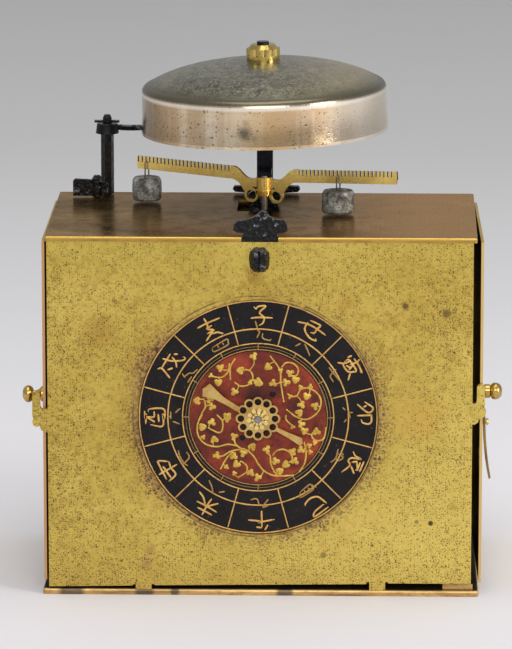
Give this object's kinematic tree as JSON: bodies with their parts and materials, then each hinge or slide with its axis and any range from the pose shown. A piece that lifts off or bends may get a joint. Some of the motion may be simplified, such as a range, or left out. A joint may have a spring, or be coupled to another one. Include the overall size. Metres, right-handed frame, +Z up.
{
  "type": "table clock",
  "caption": "Sheet-brass table clock with lacquered double-hour dial, foliot with hanging weights above the top plate, domed bell with hammer, hinged side doors and two-train movement.",
  "frame": {"origin": "centre of the base plate's bottom face", "axes": "X to the right across the dial, Y from the dial to the back, Z up"},
  "size_m": [0.1563, 0.1021, 0.1745],
  "materials": {
    "case_brass": "old pitted sheet, dull polish",
    "top_brass": "brown patina, smooth",
    "turned_brass": "worn polish",
    "wheel_brass": "machined, slightly dull",
    "foliot_brass": "dark worn brass",
    "bell_bronze": "polished side, mottled grey dome",
    "iron": "black forged, rough",
    "steel": "bright worn",
    "lead": "dull grey, rough",
    "black_lacquer": "glossy lacquer with gold figures",
    "red_lacquer": "satin lacquer with gold scrolls"
  },
  "bodies": {
    "case": {"base_plate": "case_brass", "top_plate": "top_brass", "front_plate": "case_brass", "back_plate": "case_brass", "hinge_leaves": "case_brass", "hinge_pins": "steel", "dial_back_plate": "case_brass", "chapter_ring": "black_lacquer", "dial_centre": "red_lacquer", "dial_rivets": "iron", "case_screws": "iron", "front_lug": "iron", "rear_lug": "iron", "movement_front_plate": "wheel_brass", "movement_back_plate": "wheel_brass", "pillars": "wheel_brass", "bell_stand": "iron", "foliot_cock": "iron", "verge_bridge": "iron", "verge_potence": "iron", "bell": "bell_bronze", "bell_nut": "turned_brass", "hammer_bracket": "wheel_brass", "hammer_spring": "wheel_brass", "clicks": "steel"},
    "left_door": {"left_door": "case_brass", "left_door_knob": "turned_brass"},
    "right_door": {"right_door": "case_brass", "right_door_knob": "turned_brass"},
    "keyhole_leaf": {"keyhole_leaf": "case_brass"},
    "foliot": {"foliot": "foliot_brass", "foliot_collet": "steel", "verge_arbor": "steel"},
    "left_weight": {"left_weight": "lead", "left_weight_hook": "steel"},
    "right_weight": {"right_weight": "lead", "right_weight_hook": "steel"},
    "hour_hand": {"hour_hand": "turned_brass", "hand_rosette": "turned_brass", "hour_arbor": "steel", "hour_wheel": "wheel_brass"},
    "hammer": {"hammer_arbor": "iron", "hammer_arm": "iron", "hammer_head": "iron", "hammer_pin": "steel", "hammer_tail": "iron"},
    "strike_lever": {"strike_lever": "iron", "strike_lever_finger": "iron"},
    "going_winding": {"going_arbor": "steel", "going_ratchet": "steel"},
    "strike_winding": {"strike_arbor": "steel", "strike_ratchet": "steel"},
    "going_barrel": {"going_drum": "wheel_brass"},
    "second_arbor": {"second_arbor": "wheel_brass"},
    "third_arbor": {"third_arbor": "wheel_brass"},
    "crown_arbor": {"crown_arbor": "wheel_brass"},
    "strike_barrel": {"strike_drum": "wheel_brass", "count_wheel": "wheel_brass"},
    "pin_wheel": {"pin_wheel_arbor": "wheel_brass"},
    "fly": {"fly_arbor": "wheel_brass"}
  },
  "joints": [
    {"name": "left_door_hinge", "type": "hinge", "parent": "case", "child": "left_door", "pos_m": [-0.0712, 0.034, 0], "axis": [0, 0, -1], "range_deg": [0, 105]},
    {"name": "right_door_hinge", "type": "hinge", "parent": "case", "child": "right_door", "pos_m": [0.0712, 0.034, 0], "axis": [0, 0, 1], "range_deg": [-0.9, 104]},
    {"name": "keyhole_leaf_swing", "type": "hinge", "parent": "right_door", "child": "keyhole_leaf", "pos_m": [0.07341, -0.03297, 0.0573], "axis": [0.9999, 0.0166, 0], "range_deg": [-60, 60]},
    {"name": "foliot_swing", "type": "hinge", "parent": "case", "child": "foliot", "pos_m": [0, 0.0085, 0], "axis": [0, 0, 1], "range_deg": [-27, 63]},
    {"name": "left_weight_swing", "type": "hinge", "parent": "foliot", "child": "left_weight", "pos_m": [-0.03959, 0.02136, 0.13336], "axis": [0.309, 0.9511, 0], "range_deg": [-6, 6]},
    {"name": "right_weight_swing", "type": "hinge", "parent": "foliot", "child": "right_weight", "pos_m": [0.02463, 0.0005, 0.13265], "axis": [0.309, 0.9511, 0], "range_deg": [-6, 6]},
    {"name": "hour_hand_turn", "type": "hinge", "parent": "case", "child": "hour_hand", "pos_m": [-0.0008, 0, 0.0596], "axis": [0, 1, 0], "continuous": true},
    {"name": "hammer_swing", "type": "hinge", "parent": "case", "child": "hammer", "pos_m": [-0.0536, 0.036, 0], "axis": [0, 0, -1], "range_deg": [0, 8], "stiffness_Nm_per_rad": 0.005, "springref_deg": -5.73},
    {"name": "strike_lever_turn", "type": "hinge", "parent": "case", "child": "strike_lever", "pos_m": [-0.0568, 0.03, 0], "axis": [0, 0, 1], "range_deg": [-25, 25]},
    {"name": "going_winding_turn", "type": "hinge", "parent": "case", "child": "going_winding", "pos_m": [-0.02, 0, 0.024], "axis": [0, 1, 0], "continuous": true},
    {"name": "strike_winding_turn", "type": "hinge", "parent": "case", "child": "strike_winding", "pos_m": [0.02, 0, 0.024], "axis": [0, 1, 0], "continuous": true},
    {"name": "going_barrel_turn", "type": "hinge", "parent": "case", "child": "going_barrel", "pos_m": [-0.02, 0, 0.024], "axis": [0, 1, 0], "continuous": true},
    {"name": "second_arbor_turn", "type": "hinge", "parent": "case", "child": "second_arbor", "pos_m": [-0.022, 0, 0.04792], "axis": [0, 1, 0], "continuous": true},
    {"name": "third_arbor_turn", "type": "hinge", "parent": "case", "child": "third_arbor", "pos_m": [-0.012, 0, 0.06638], "axis": [0, 1, 0], "continuous": true},
    {"name": "crown_arbor_turn", "type": "hinge", "parent": "case", "child": "crown_arbor", "pos_m": [0, 0, 0.07635], "axis": [0, 1, 0], "continuous": true},
    {"name": "strike_barrel_turn", "type": "hinge", "parent": "case", "child": "strike_barrel", "pos_m": [0.02, 0, 0.024], "axis": [0, 1, 0], "continuous": true},
    {"name": "pin_wheel_turn", "type": "hinge", "parent": "case", "child": "pin_wheel", "pos_m": [0.022, 0, 0.04792], "axis": [0, 1, 0], "continuous": true},
    {"name": "fly_turn", "type": "hinge", "parent": "case", "child": "fly", "pos_m": [0.012, 0, 0.06638], "axis": [0, 1, 0], "continuous": true}
  ],
  "couplings": [
    {"joint": "second_arbor_turn", "follows": "going_barrel_turn", "ratio": -4},
    {"joint": "third_arbor_turn", "follows": "going_barrel_turn", "ratio": 16},
    {"joint": "crown_arbor_turn", "follows": "going_barrel_turn", "ratio": -67.2},
    {"joint": "hour_hand_turn", "follows": "going_barrel_turn", "ratio": 1},
    {"joint": "pin_wheel_turn", "follows": "strike_barrel_turn", "ratio": -4},
    {"joint": "fly_turn", "follows": "strike_barrel_turn", "ratio": 16}
  ]
}
